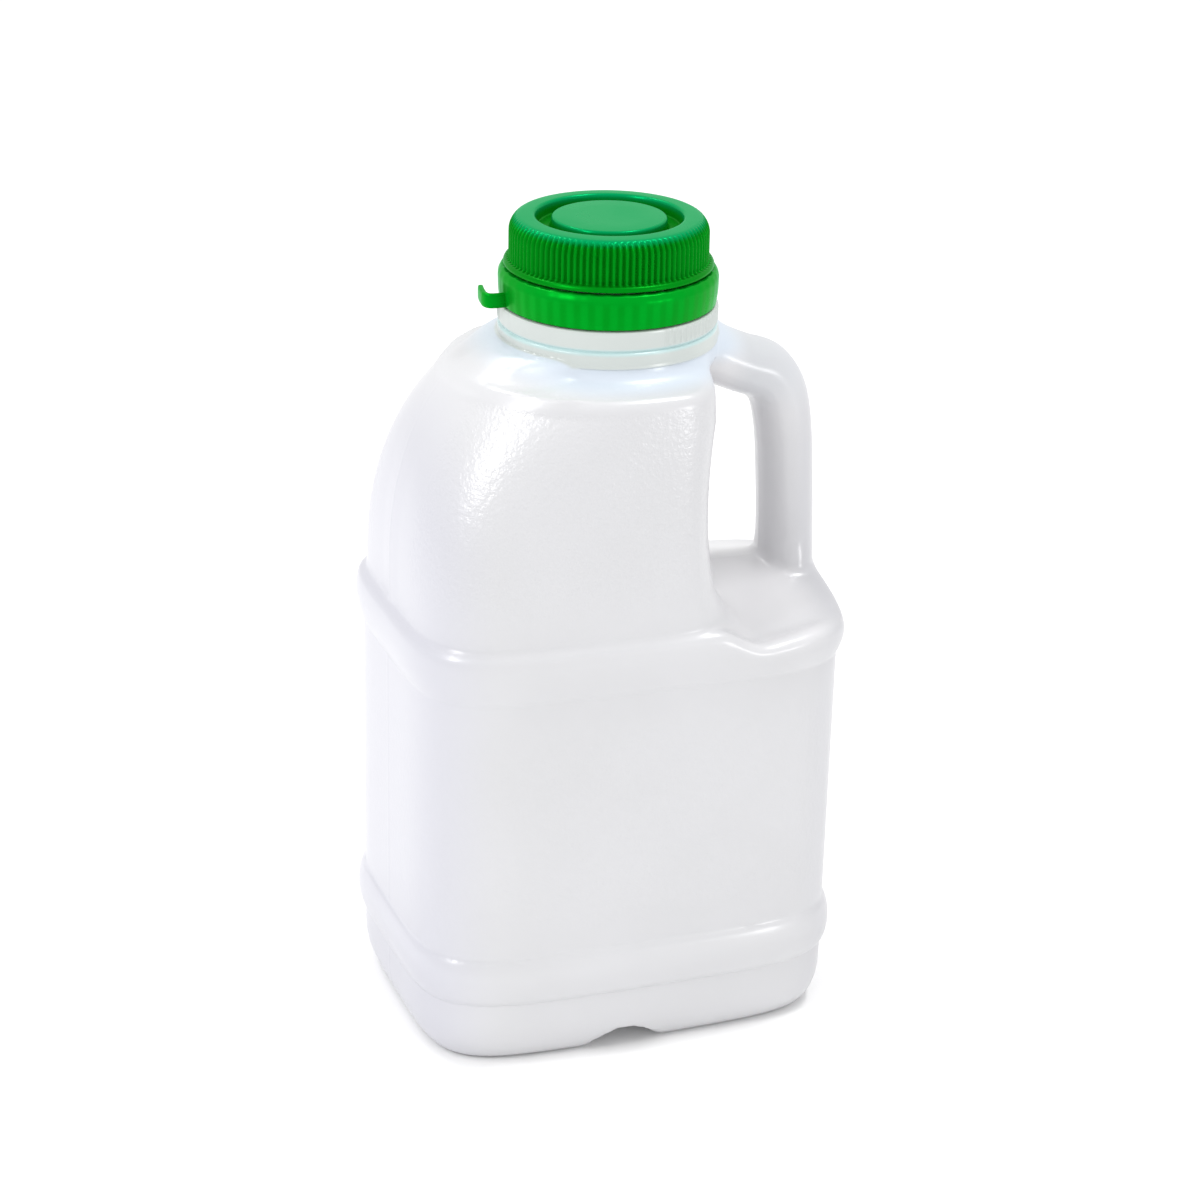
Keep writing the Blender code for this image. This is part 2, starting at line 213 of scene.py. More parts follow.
def about_neck(radius: np.ndarray, height: np.ndarray, angle: np.ndarray) -> np.ndarray:
    """Points turned about the neck's axis.

    Formula: (x0 + r*cos(a), r*sin(a), z), with x0 the axis's place on X.

    Args:
        radius: Radius r of each ring, or of each point of each ring.
        height: Height z of each ring, or of each point of each ring.
        angle: Angle a of each point round a ring.

    Returns:
        The points, shaped (rings, round, 3).
    """
    x, y = NECK_X + radius * np.cos(angle), radius * np.sin(angle)
    return np.stack((x, y, np.broadcast_to(height, x.shape)), axis=-1)


# ---------------------------------------------------------------- mesh helpers


def mesh_object(name: str, points: np.ndarray, faces: list[np.ndarray]) -> bpy.types.Object:
    """Put points and faces into a new object that sits at the origin.

    Args:
        name: The object's name.
        points: Vertices in millimetres, one a row.
        faces: Arrays of vertex numbers, each with one face a row.

    Returns:
        The object, linked to the scene.
    """
    mesh = bpy.data.meshes.new(name)
    sizes = np.concatenate([np.full(len(part), part.shape[1]) for part in faces])
    corners = np.concatenate([part.ravel() for part in faces])
    mesh.vertices.add(len(points))
    mesh.vertices.foreach_set("co", (points * METRES).astype(np.float32).ravel())
    mesh.loops.add(len(corners))
    mesh.loops.foreach_set("vertex_index", corners.astype(np.int32))
    starts = np.concatenate(([0], np.cumsum(sizes)[:-1]))
    mesh.polygons.add(len(sizes))
    mesh.polygons.foreach_set("loop_start", starts.astype(np.int32))
    mesh.update(calc_edges=True)
    mesh.validate()
    made = bpy.data.objects.new(name, mesh)
    bpy.context.scene.collection.objects.link(made)
    return made


def turned_grid(
    points: np.ndarray, first_pole: bool, last_pole: bool
) -> tuple[np.ndarray, list[np.ndarray]]:
    """Vertices and faces of rings around an axis, closed round and, where asked, by a pole.

    Without poles the last ring joins the first, so the rings' profile is a closed loop.

    Args:
        points: Rings of points, shaped (rings, round, 3).
        first_pole: Whether the first ring closes on its middle.
        last_pole: Whether the last ring closes on its middle.

    Returns:
        The vertices, and the faces as arrays of quads and triangles.
    """
    rings, count, _ = points.shape
    closed = not (first_pole or last_pole)
    ring = np.arange(count)
    ahead = (ring + 1) % count
    number = np.arange(rings if closed else rings - 1)[:, None]
    low, high = number * count, (number + 1) % rings * count
    quads = np.stack((low + ring, low + ahead, high + ahead, high + ring), axis=-1)
    vertices, faces = [points.reshape(-1, 3)], [quads.reshape(-1, 4)]
    total = rings * count
    if first_pole:
        vertices.append(points[0].mean(axis=0)[None])
        faces.append(np.column_stack((ahead, ring, np.full(count, total))))
        total += 1
    if last_pole:
        base = (rings - 1) * count
        vertices.append(points[-1].mean(axis=0)[None])
        faces.append(np.column_stack((base + ring, base + ahead, np.full(count, total))))
    return np.vstack(vertices), faces


def outward(made: bpy.types.Object) -> bpy.types.Object:
    """Turn a closed mesh's faces outward and shade it smooth.

    Args:
        made: The object with the mesh.

    Returns:
        The same object.
    """
    bm = bmesh.new()
    bm.from_mesh(made.data)
    bmesh.ops.recalc_face_normals(bm, faces=bm.faces)
    bm.to_mesh(made.data)
    bm.free()
    made.data.shade_smooth()
    return made


def boolean(target: bpy.types.Object, tool: bpy.types.Object, operation: str) -> None:
    """Apply a Boolean to an object's mesh and remove the tool.

    Args:
        target: The object that is kept.
        tool: The object that is joined to it or cut out of it.
        operation: UNION or DIFFERENCE.
    """
    modifier = target.modifiers.new("combine", "BOOLEAN")
    modifier.object = tool
    modifier.operation = operation
    modifier.solver = "MANIFOLD"
    view = bpy.context.evaluated_depsgraph_get()
    result = bpy.data.meshes.new_from_object(target.evaluated_get(view))
    target.modifiers.clear()
    target.data = result
    bpy.data.objects.remove(tool, do_unlink=True)


# The twelve edges of a grid cell, each as its two corners.
EDGES = tuple(
    (low, low + np.eye(3, dtype=int)[axis])
    for axis in range(3)
    for low in (np.array(corner) for corner in np.ndindex(2, 2, 2))
    if low[axis] == 0
)


def net_surface(
    lines: tuple[np.ndarray, np.ndarray, np.ndarray], values: np.ndarray
) -> tuple[np.ndarray, np.ndarray]:
    """A closed quad surface where a field sampled on a grid crosses zero.

    Each grid cell that the surface passes gets one vertex, the mean of the points where its edges
    cross zero, and each grid edge that crosses zero gets the quad of its four cells.

    Args:
        lines: The grid's planes along X, Y and Z.
        values: The field at the grid's points, positive at the grid's border.

    Returns:
        The vertices, and the quads facing the positive side.
    """
    inside = values < 0.0
    count = np.zeros(tuple(size - 1 for size in values.shape), np.int8)
    for corner in np.ndindex(2, 2, 2):
        window = tuple(slice(c, c + n) for c, n in zip(corner, count.shape))
        count += inside[window]
    cells = np.argwhere((count > 0) & (count < 8))
    number = np.full(count.shape, -1, np.int64)
    number[tuple(cells.T)] = np.arange(len(cells))
    total, weight = np.zeros((len(cells), 3)), np.zeros(len(cells))
    for low, high in EDGES:
        start, end = cells + low, cells + high
        first, second = values[tuple(start.T)], values[tuple(end.T)]
        crossed = (first < 0.0) != (second < 0.0)
        share = np.where(crossed, first / np.where(crossed, first - second, 1.0), 0.0)
        a = np.column_stack([line[start[:, i]] for i, line in enumerate(lines)])
        b = np.column_stack([line[end[:, i]] for i, line in enumerate(lines)])
        total += np.where(crossed[:, None], a + (b - a) * share[:, None], 0.0)
        weight += crossed
    quads = []
    for axis in range(3):
        step = np.eye(3, dtype=int)[axis]
        near = tuple(slice(0, n - s) for n, s in zip(values.shape, step))
        far = tuple(slice(s, n) for n, s in zip(values.shape, step))
        edges = np.argwhere(inside[near] != inside[far])
        one, two = (np.eye(3, dtype=int)[(axis + turn) % 3] for turn in (1, 2))
        ring = [number[tuple((edges - shift).T)] for shift in (one + two, two, 0 * one, one)]
        quad = np.column_stack(ring)
        flip = ~inside[near][tuple(edges.T)]
        quad[flip] = quad[flip, ::-1]
        quads.append(quad)
    return total / weight[:, None], np.vstack(quads)


def graded_line(stops: list[Pair], samples: int = 4000) -> np.ndarray:
    """Grid planes whose spacing changes along an axis.

    Formula: the planes are where the running sum of dx/spacing(x) reaches whole numbers.

    Args:
        stops: Places with the spacing wanted there, in order.
        samples: How finely the running sum is worked out.

    Returns:
        The planes' places, from before the first stop to after the last.
    """
    table = np.array(stops)
    fine = np.linspace(table[0, 0], table[-1, 0], samples)
    spacing = np.interp(fine, table[:, 0], table[:, 1])
    between = 0.5 * (spacing[1:] + spacing[:-1])
    summed = np.concatenate(([0.0], np.cumsum(np.diff(fine) / between)))
    return np.interp(np.arange(0.0, math.floor(summed[-1]) + 1.0), summed, fine)


# ---------------------------------------------------------------- the jug


@dataclass
class JugForm:
    """The jug's outer form below its neck, as a signed distance field.

    A pair of numbers is a span over which a blend runs, unless its name says that it holds slopes,
    flares, fillets or a place. The handle's line holds X, Z and the half width at each point.
    """

    half_width: float = 45.1
    half_depth: float = 33.9
    plan_power: float = 4.7
    base_inset: float = 5.2
    base_height: float = 9.6
    band_swell: float = 1.5
    foot_band: Pair = (14.0, 24.0)
    band_bottom: float = 79.9
    band_over: float = 1.035
    band_power: float = 0.6
    band_skew: float = 1.3
    draft: float = 0.012
    ledge_height: float = 91.0
    ledge_round: float = 1.6
    saddle_round: float = 3.6
    saddle_crest: float = 92.4
    saddle_slopes: Pair = (0.25, 0.31)
    crest_round: float = 4.0
    saddle_span: Pair = (13.0, 24.0)
    saddle_blend: float = 0.8
    edge_round_span: Pair = (15.0, 26.0)
    saddle_edge: float = 87.1
    saddle_edge_rise: float = 0.15
    saddle_edge_tilt: float = 0.3
    saddle_edge_place: Pair = (24.0, -32.5)
    groove_x: float = -4.2
    groove_half_width: float = 8.5
    groove_height: float = 4.8
    groove_round: float = 0.6
    upper_depth: float = 33.6
    upper_start: float = 81.0
    upper_fillet: float = 1.0
    arch_reach: float = 44.4
    arch_top_reach: float = 20.0
    arch_spring: float = 101.2
    arch_rise: float = 43.4
    grip_reach: float = 14.8
    grip_waist: float = 113.0
    grip_span: float = 19.0
    grip_flares: Pair = (3.0, 2.0)
    grip_power: float = 4.0
    grip_foot: float = 86.3
    grip_foot_floor: float = 86.0
    grip_foot_radius: float = 12.0
    taper_start: float = 96.0
    taper_power: float = 2.2
    rounding: Pair = (96.0, 136.0)
    shoulder_height: float = 139.4
    shoulder_radius: float = 29.6
    shoulder_power: float = 2.0
    shoulder_round: float = 2.4
    cove_rise: float = 3.2
    cove_radius: float = 21.75
    ridge_fillet: float = 0.8
    ridge_fade: Pair = (-18.0, -4.0)
    ridge_sink: float = 4.0
    collar_middle: float = 142.5
    collar_half_height: float = 3.0
    collar_fillet: float = 1.4
    widest: float = 46.59
    handle_half_depth: float = 7.6
    handle_fillets: Pair = (1.8, 5.0)
    handle_fillet_span: Pair = (98.0, 125.0)
    handle_foot_flare: float = 1.5
    handle_foot_span: Pair = (91.0, 98.5)
    handle_line: tuple[Triple, ...] = (
        (11.0, 143.0, 6.0), (18.0, 141.2, 6.0), (23.0, 137.8, 6.0), (29.0, 135.0, 6.0),
        (34.3, 132.8, 6.1), (37.7, 128.2, 5.9), (39.3, 120.5, 5.7), (40.0, 111.0, 5.6),
        (40.5, 101.0, 5.6), (40.5, 93.0, 5.6), (39.6, 87.0, 5.6), (38.6, 81.0, 5.6),
    )
    handle_steps: int = 8
    handle_margin: float = 10.0
    handle_batch: int = 20000
    beyond: float = 50.0
    ridge_half_depth: float = 12.3
    panel_lift: float = 0.22
    panel_gap: float = 1.9
    panel_round: float = 1.0
    panel_edge: float = 0.35
    panel_rise: Pair = (122.0, 131.0)
    panel_retreat: float = 30.0
    seam_lift: float = 0.09
    seam_width: float = 0.3
    seam_reach: Pair = (21.5, 24.0)
    seam_foot: Pair = (1.0, 4.0)
    seamless: tuple[tuple[Pair, Pair], ...] = (
        ((78.0, 81.0), (91.0, 92.5)), ((13.0, 15.0), (23.0, 25.0)),
    )
    handle_path: np.ndarray = field(init=False)

    def __post_init__(self) -> None:
        """Work out the handle's smooth middle line once."""
        self.handle_path = smooth_line(np.array(self.handle_line), self.handle_steps)

    def bump(self, share: np.ndarray, skew: float) -> np.ndarray:
        """A band's outline: sin(pi*s^skew)^n for s from 0 to 1, and 0 elsewhere."""
        inside = np.clip(share, 0.0, 1.0)
        return np.maximum(np.sin(np.pi * inside**skew), 0.0) ** self.band_power

    def saddle(self, x: np.ndarray, y: np.ndarray) -> np.ndarray:
        """The lower block's top: level, and at the right a rounded ridge with a front edge.

        Args:
            x: Places along X.
            y: Places along Y.

        Returns:
            The height of the top.
        """
        fall = np.hypot(y, self.crest_round) - self.crest_round
        ridge = self.saddle_crest - np.where(y < 0.0, *self.saddle_slopes) * fall
        edge = self.saddle_edge + self.saddle_edge_rise * (x - self.saddle_edge_place[0])
        edge = edge - self.saddle_edge_tilt * (y - self.saddle_edge_place[1])
        blend = smooth_step(x, *self.saddle_span)
        saddle = meet(ridge, edge, self.saddle_blend)
        return self.ledge_height + (saddle - self.ledge_height) * blend

    def lower(self, x: np.ndarray, y: np.ndarray, z: np.ndarray) -> np.ndarray:
        """The lower block: a superelliptic wall pushed out by its bands, with rounded edges.

        Formula for the base's edge, with w the distance to the wall: (q - 1)*q/|grad|, which is 0
        on the quarter ellipse q = hypot(w/i + 1, 1 - z/h) = 1. Elsewhere it is max(w, -z).

        Args:
            x: Places along X.
            y: Places along Y.
            z: Places along Z.

        Returns:
            Signed distance, negative inside.
        """
        top = self.saddle(x, y)
        foot = (z - self.foot_band[0]) / (self.foot_band[1] - self.foot_band[0])
        band = (z - self.band_bottom) / (top - self.band_bottom) / self.band_over
        swell = self.band_swell * (self.bump(foot, 1.0) + self.bump(band, self.band_skew))
        lean = np.maximum(self.band_bottom - z, 0.0) * np.maximum(x / self.half_width, 0.0)
        width, power = self.half_width, self.plan_power
        wall = plan_distance(x, y, width, width, self.half_depth, power, power)
        wall = wall - swell + self.draft * lean
        out, down = wall / self.base_inset + 1.0, 1.0 - z / self.base_height
        ratio = np.maximum(np.hypot(out, down), TINY)
        slope = np.maximum(np.hypot(out / self.base_inset, down / self.base_height), TINY)
        corner = (out > 0.0) & (down > 0.0)
        edged = np.where(corner, (ratio - 1.0) * ratio / slope, np.maximum(wall, -z))
        extra = (self.saddle_round - self.ledge_round) * smooth_step(x, *self.edge_round_span)
        return meet(edged, z - top, self.ledge_round + extra)

    def reach(self, z: np.ndarray) -> np.ndarray:
        """The left side's reach: upright, then the quarter of an ellipse up to the neck.

        Args:
            z: Places along Z.

        Returns:
            The reach to the left of the neck's axis.
        """
        rise = np.clip((z - self.arch_spring) / self.arch_rise, 0.0, 1.0)
        span = self.arch_reach - self.arch_top_reach
        return self.arch_top_reach + span * np.sqrt(1.0 - rise * rise)

    def upper(self, x: np.ndarray, y: np.ndarray, z: np.ndarray) -> np.ndarray:
        """The upper body: its arch on the left, its grip side, its shoulder edge and the cove.

        Args:
            x: Places along X.
            y: Places along Y.
            z: Places along Z.

        Returns:
            Signed distance, negative inside.
        """
        tapered = self.shoulder_height - self.taper_start
        share = np.clip((z - self.taper_start) / tapered, 0.0, 1.0) ** self.taper_power
        depth = self.upper_depth - (self.upper_depth - self.shoulder_radius) * share
        start, end = self.rounding
        turn = np.clip((z - start) / (end - start), 0.0, 1.0)
        power = self.plan_power - (self.plan_power - self.shoulder_power) * turn
        waist = np.minimum(np.abs(z - self.grip_waist) / self.grip_span, 1.0)
        grip = self.grip_reach + np.where(z < self.grip_waist, *self.grip_flares) * waist**2
        foot, floor = self.grip_foot_radius, self.grip_foot_floor
        rise = np.clip(z, self.grip_foot, floor + foot) - floor
        grip = grip + foot - np.sqrt((2.0 * foot - rise) * rise)
        left = self.reach(z)
        wall = plan_distance(x, y, left, grip, depth, power, self.grip_power)
        middle = np.hypot(x - NECK_X, y)
        ring = self.shoulder_radius - self.cove_radius
        way = np.clip((self.shoulder_radius - middle) / ring, 0.0, 1.0)
        cove = self.shoulder_height + self.cove_rise * (1.0 - np.sqrt(1.0 - way * way))
        block = meet(wall, z - cove, self.shoulder_round)
        lift = np.clip((z - self.shoulder_height) / self.cove_rise, 0.0, 1.0)
        narrow = self.shoulder_radius - ring * np.sqrt(1.0 - (1.0 - lift) ** 2)
        round_power = self.shoulder_power
        ridge = plan_distance(x, y, left, self.cove_radius, narrow, round_power, round_power)
        ridge = np.maximum(ridge, z - self.arch_spring - self.arch_rise)
        ridge = ridge + self.ridge_sink * smooth_step(x, *self.ridge_fade)
        body = melt(block, ridge, self.ridge_fillet)
        return np.maximum(body, self.upper_start - z)

    def handle(self, x: np.ndarray, y: np.ndarray, z: np.ndarray) -> np.ndarray:
        """The handle: an oval section carried along its middle line in the XZ plane.

        Formula: (q - 1)*q/|grad|, with q = sqrt((d/w)^2 + (y/h)^2), d the distance to the line in
        the XZ plane, w the half width there and h the half depth.

        Args:
            x: Places along X.
            y: Places along Y.
            z: Places along Z.

        Returns:
            Signed distance, negative inside.
        """
        flat = np.column_stack((x.ravel(), z.ravel()))
        near = np.full(len(flat), self.beyond)
        width = np.full(len(flat), self.handle_path[0, 2])
        start, step = self.handle_path[:-1], np.diff(self.handle_path, axis=0)
        lowest = self.band_bottom - self.handle_margin
        close = np.flatnonzero((flat[:, 0] > 0.0) & (flat[:, 1] > lowest))
        for part in np.array_split(close, max(1, len(close) // self.handle_batch)):
            offset = flat[part, None, :] - start[None, :, :2]
            share = np.clip((offset * step[:, :2]).sum(-1) / (step[:, :2] ** 2).sum(-1), 0.0, 1.0)
            gap = np.linalg.norm(offset - share[..., None] * step[:, :2], axis=-1)
            best = gap.argmin(axis=1)
            row = np.arange(len(part))
            near[part] = gap[row, best]
            width[part] = start[best, 2] + share[row, best] * step[best, 2]
        near, width = near.reshape(x.shape), width.reshape(x.shape)
        flare = self.handle_foot_flare * (1.0 - smooth_step(z, *self.handle_foot_span))
        depth = self.handle_half_depth + flare
        ratio = np.maximum(np.hypot(near / width, y / depth), TINY)
        slope = np.hypot(near / width**2, y / depth**2) + TINY
        return (ratio - 1.0) * ratio / slope

    def relief(self, x: np.ndarray, y: np.ndarray, z: np.ndarray) -> np.ndarray:
        """How far fine lines stand proud: the edge of the grained panel and the mould's seam.

        Args:
            x: Places along X.
            y: Places along Y.
            z: Places along Z.

        Returns:
            The height above the plain form.
        """
        fade = smooth_step(z, *self.panel_rise)
        rim = self.shoulder_height - self.panel_gap - z
        side = np.abs(y) - self.ridge_half_depth + self.panel_retreat * (1.0 - fade)
        side = np.where(x < 0.0, side, self.panel_retreat)
        panel = smooth_step(meet(rim, side, self.panel_round), -self.panel_edge, self.panel_edge)
        banded = sum(
            smooth_step(z, *up) * (1.0 - smooth_step(z, *down)) for up, down in self.seamless
        )
        seam = np.exp(-((y / self.seam_width) ** 2)) * smooth_step(np.abs(x), *self.seam_reach)
        seam = seam * (1.0 - banded) * smooth_step(z, *self.seam_foot)
        return self.panel_lift * fade * (panel - 1.0) + self.seam_lift * seam

    def plain(self, x: np.ndarray, y: np.ndarray, z: np.ndarray) -> np.ndarray:
        """The whole form without its fine lines.

        Args:
            x: Places along X.
            y: Places along Y.
            z: Places along Z.

        Returns:
            Signed distance, negative inside.
        """
        body = melt(self.lower(x, y, z), self.upper(x, y, z), self.upper_fillet)
        low, high = self.handle_fillets
        fillet = low + (high - low) * smooth_step(z, *self.handle_fillet_span)
        body = melt(body, self.handle(x, y, z), fillet)
        around = np.hypot(x - NECK_X, y) - self.cove_radius
        collar = np.maximum(around, np.abs(z - self.collar_middle) - self.collar_half_height)
        body = melt(body, collar, self.collar_fillet)
        body = np.maximum(body, np.abs(x) - self.widest)
        away = (x - self.groove_x) / self.groove_half_width
        groove = self.groove_height * np.maximum(1.0 - away * away, -1.0)
        return meet(body, groove - z, self.groove_round)

    def fine(self, x: np.ndarray, y: np.ndarray, z: np.ndarray) -> np.ndarray:
        """The whole form with its fine lines."""
        return self.plain(x, y, z) - self.relief(x, y, z)


@dataclass
class Jug:
    """The blow-moulded jug: one hollow shell with its handle, shoulder, collar and neck.

    The cells are a net's spacing, coarse and then fine. The nudge is the distance over which the
    form's slope is measured, and the stride is the longest step as a share of the fine cell. The
    sectors and the sharp angle are in degrees.
    """

    form: JugForm = field(default_factory=JugForm)
    shell_cells: Pair = (1.15, 0.5)
    hollow_cells: Pair = (2.4, 1.6)
    least_slope: float = 0.7
    least_square: float = 0.05
    nudge: float = 0.04
    passes: int = 4
    stride: float = 0.4
    sharp_angle: float = 38.0
    wall: float = 1.1
    bore_radius: float = 16.8
    collar_bottom: float = 143.2
    collar_radius: float = 21.9
    collar_top: float = 146.4
    step_radius: float = 21.7
    step_top: float = 150.6
    step_wall: float = 1.3
    bead: float = 0.12
    root_radius: float = 21.2
    neck_radius: float = 18.9
    finish_start: float = 152.2
    finish_radius: float = 18.3
    mouth_height: float = 163.4
    corner_samples: int = 3
    neck_columns: int = 600
    bore_columns: int = 120
    tooth_count: int = 100
    tooth_rows: int = 8
    tooth_height: float = 0.3
    tooth_sectors: tuple[Pair, ...] = ((-79.0, -8.0), (101.0, 172.0))

    @staticmethod
    def grid(cell: float, fine: float) -> tuple[np.ndarray, np.ndarray, np.ndarray]:
        """Planes for the surface net, close together where edges are crisp.

        Args:
            cell: Grid spacing.
            fine: Grid spacing where edges are crisp.

        Returns:
            The planes along X, Y and Z.
        """
        x = graded_line([(-50.0, cell), (50.0, cell)])
        y = graded_line([
            (-38.0, cell), (-6.0, cell), (-1.0, fine), (1.0, fine), (6.0, cell), (38.0, cell),
        ])
        z = graded_line([
            (-1.6, 0.7 * cell), (8.0, cell), (12.5, fine), (25.0, fine), (30.0, cell),
            (76.0, cell), (79.0, fine), (82.0, 0.7 * cell), (88.0, fine), (92.5, fine),
            (97.0, cell), (126.0, cell), (131.0, fine), (147.0, fine), (152.0, cell),
        ])
        return x, y, z

    def shell(self) -> bpy.types.Object:
        """The outer face with its fine lines, as a closed surface.

        Formula: the net's points are drawn onto the field's zero by p - f*grad/|grad|^2, a few
        times, each step no longer than a share of the finer grid spacing.

        Returns:
            The object.
        """
        shape = self.form.fine
        lines = self.grid(*self.shell_cells)
        points, quads = net_surface(lines, shape(*np.meshgrid(*lines, indexing="ij")))
        longest = self.stride * self.shell_cells[1]
        for _ in range(self.passes):
            value = shape(*points.T)
            slope = np.column_stack([
                (shape(*(points + step).T) - shape(*(points - step).T)) / (2.0 * self.nudge)
                for step in self.nudge * np.eye(3)
            ])
            size = np.maximum((slope**2).sum(axis=1), self.least_square)
            move = (value / size)[:, None] * slope
            length = np.maximum(np.linalg.norm(move, axis=1)[:, None], TINY)
            points -= move * np.minimum(1.0, longest / length)
        return outward(mesh_object("jug_shell", points, [quads]))

    def hollow(self) -> bpy.types.Object:
        """The hollow inside the wall.

        Formula: the surface where f/|grad f| + t = 0, with f the form's field and t the wall.

        Returns:
            The object.
        """
        lines = self.grid(*self.hollow_cells)
        value = self.form.plain(*np.meshgrid(*lines, indexing="ij"))
        slope = np.linalg.norm(np.gradient(value, *lines), axis=0)
        points, quads = net_surface(lines, value / np.maximum(slope, self.least_slope) + self.wall)
        return outward(mesh_object("hollow", points, [quads]))

    def neck_solid(self) -> bpy.types.Object:
        """The collar, the step and the neck as one turned solid, with ratchet teeth on two sectors.

        Formula: a profile (r, z) turned about the neck's axis, with r raised by
        h*w(z)*s(a)*(0.5 + 0.5*cos(n*a))^2 where teeth stand.

        Returns:
            The object.
        """
        low, line, step = self.collar_bottom, self.collar_top, self.step_radius
        rim = self.collar_radius + self.bead
        profile = rounded_path([
            (self.root_radius, low - 3.4, 0.0), (self.root_radius, low - 0.7, 0.1), (rim, low, 0.1),
            (rim, low + 0.2, 0.15), (self.collar_radius, low + 0.6, 0.2),
            (self.collar_radius, line - 0.2, 0.2), (step - 0.35, line + 0.1, 0.15),
            (step, line + 0.5, 0.15), (step, self.step_top, 0.4),
            (self.neck_radius, self.step_top + 0.1, 0.1),
            (self.neck_radius, self.finish_start, 0.3),
            (self.finish_radius, self.finish_start + 0.6, 0.3),
            (self.finish_radius, self.mouth_height, 0.5),
            (self.bore_radius - 1.0, self.mouth_height, 0.0),
        ], self.corner_samples)
        extra = np.linspace(line + 0.9, self.step_top - 0.7, self.tooth_rows)
        rows = np.column_stack((np.full(self.tooth_rows, step), extra))
        place = int(np.argmax(profile[:, 1] > line + 0.85))
        profile = np.vstack((profile[:place], rows, profile[place:]))
        angle = full_turn(self.neck_columns)
        tooth = (0.5 + 0.5 * np.cos(self.tooth_count * angle)) ** 2
        degrees = np.degrees(angle)[None, :]
        sector = np.zeros_like(angle)[None, :]
        for start, end in self.tooth_sectors:
            middle, half = 0.5 * (start + end), 0.5 * (end - start)
            off = np.abs((degrees - middle + 180.0) % 360.0 - 180.0)
            sector = np.maximum(sector, (off < half).astype(float))
        height = profile[:, 1:2]
        window = smooth_step(height, line + 0.4, line + 1.2) * (profile[:, :1] > step - 0.05)
        radius = profile[:, :1] + self.tooth_height * window * sector * tooth[None, :]
        points = about_neck(radius, height, angle)
        return outward(mesh_object("neck", *turned_grid(points, True, True)))

    def bore_solid(self) -> bpy.types.Object:
        """What the bore takes out of the neck: a round plug that is wide inside the step.

        Returns:
            The object.
        """
        wide = self.step_radius - self.step_wall
        profile = np.array([
            (wide, self.collar_bottom - 2.6), (wide, self.step_top - 2.0 * self.step_wall),
            (self.bore_radius, self.step_top - self.step_wall),
            (self.bore_radius, self.mouth_height + 3.0),
        ])
        points = about_neck(profile[:, :1], profile[:, 1:2], full_turn(self.bore_columns))
        return outward(mesh_object("bore", *turned_grid(points, True, True)))

    def build(self) -> bpy.types.Object:
        """Make the shell and give it a real wall and an open mouth.

        Returns:
            The finished object, riding on the root body in the place of the CAD jug.
        """
        jug = self.shell()
        boolean(jug, self.neck_solid(), "UNION")
        boolean(jug, self.hollow(), "DIFFERENCE")
        boolean(jug, self.bore_solid(), "DIFFERENCE")
        jug.data.shade_smooth()
        jug.data.set_sharp_from_angle(angle=math.radians(self.sharp_angle))
        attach(jug, "root")
        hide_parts("bottle")
        return jug


# ---------------------------------------------------------------- the cap and its band


